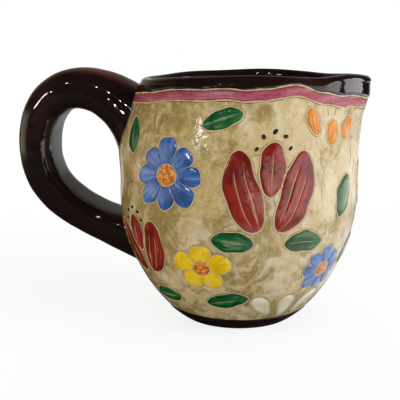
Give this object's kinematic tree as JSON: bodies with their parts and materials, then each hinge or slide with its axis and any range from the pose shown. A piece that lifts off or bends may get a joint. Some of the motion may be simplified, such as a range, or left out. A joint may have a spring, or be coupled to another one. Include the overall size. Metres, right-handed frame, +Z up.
{
  "type": "coffee cup",
  "caption": "Hand-thrown stoneware coffee cup with a round belly, a pulled lip and a broad strap handle, coated in pale slip with raised enamel flowers under a dark glazed rim.",
  "frame": {"origin": "centre of the foot, on the table", "axes": "+Z up out of the mouth, +X towards the pulled lip, -X towards the handle, -Y the side that the picture shows"},
  "size_m": [0.1397, 0.0956, 0.0999],
  "materials": {
    "dark_glaze": "glossy brown-black glaze on handle, rim, foot and inside",
    "slip": "satin mottled cream slip",
    "crimson": "crimson slip under clear glaze",
    "red_enamel": "glossy brick-red enamel",
    "blue_enamel": "glossy blue enamel",
    "yellow_enamel": "glossy yellow enamel",
    "orange_enamel": "glossy orange enamel",
    "green_enamel": "glossy dark green enamel",
    "white_enamel": "glossy off-white enamel"
  },
  "bodies": {
    "root": {"cup_body": "dark_glaze", "handle": "dark_glaze", "slip_coat": "slip", "rim_stripe": "crimson", "front_tulip_heart": "red_enamel", "front_tulip_left_wing": "red_enamel", "front_tulip_right_wing": "red_enamel", "front_small_tulip_heart": "red_enamel", "front_small_tulip_left_wing": "red_enamel", "front_small_tulip_right_wing": "red_enamel", "front_daisy_petals": "blue_enamel", "front_daisy_eye": "orange_enamel", "front_small_daisy_petals": "blue_enamel", "front_small_daisy_eye": "orange_enamel", "front_star_petals": "yellow_enamel", "front_star_eye": "orange_enamel", "front_leaf_1": "green_enamel", "front_leaf_2": "green_enamel", "front_leaf_3": "green_enamel", "front_leaf_4": "green_enamel", "front_leaf_5": "green_enamel", "front_leaf_6": "green_enamel", "front_leaf_7": "green_enamel", "front_leaf_8": "green_enamel", "front_bud_1": "orange_enamel", "front_bud_2": "orange_enamel", "front_bud_3": "orange_enamel", "front_drop_1": "white_enamel", "front_drop_2": "white_enamel", "front_drop_3": "white_enamel", "back_tulip_heart": "red_enamel", "back_tulip_left_wing": "red_enamel", "back_tulip_right_wing": "red_enamel", "back_small_tulip_heart": "red_enamel", "back_small_tulip_left_wing": "red_enamel", "back_small_tulip_right_wing": "red_enamel", "back_daisy_petals": "blue_enamel", "back_daisy_eye": "orange_enamel", "back_small_daisy_petals": "blue_enamel", "back_small_daisy_eye": "orange_enamel", "back_star_petals": "yellow_enamel", "back_star_eye": "orange_enamel", "back_leaf_1": "green_enamel", "back_leaf_2": "green_enamel", "back_leaf_3": "green_enamel", "back_leaf_4": "green_enamel", "back_leaf_5": "green_enamel", "back_leaf_6": "green_enamel", "back_leaf_7": "green_enamel", "back_leaf_8": "green_enamel", "back_bud_1": "orange_enamel", "back_bud_2": "orange_enamel", "back_bud_3": "orange_enamel", "back_drop_1": "white_enamel", "back_drop_2": "white_enamel", "back_drop_3": "white_enamel", "lip_star_petals": "yellow_enamel", "lip_star_eye": "orange_enamel"}
  },
  "joints": []
}
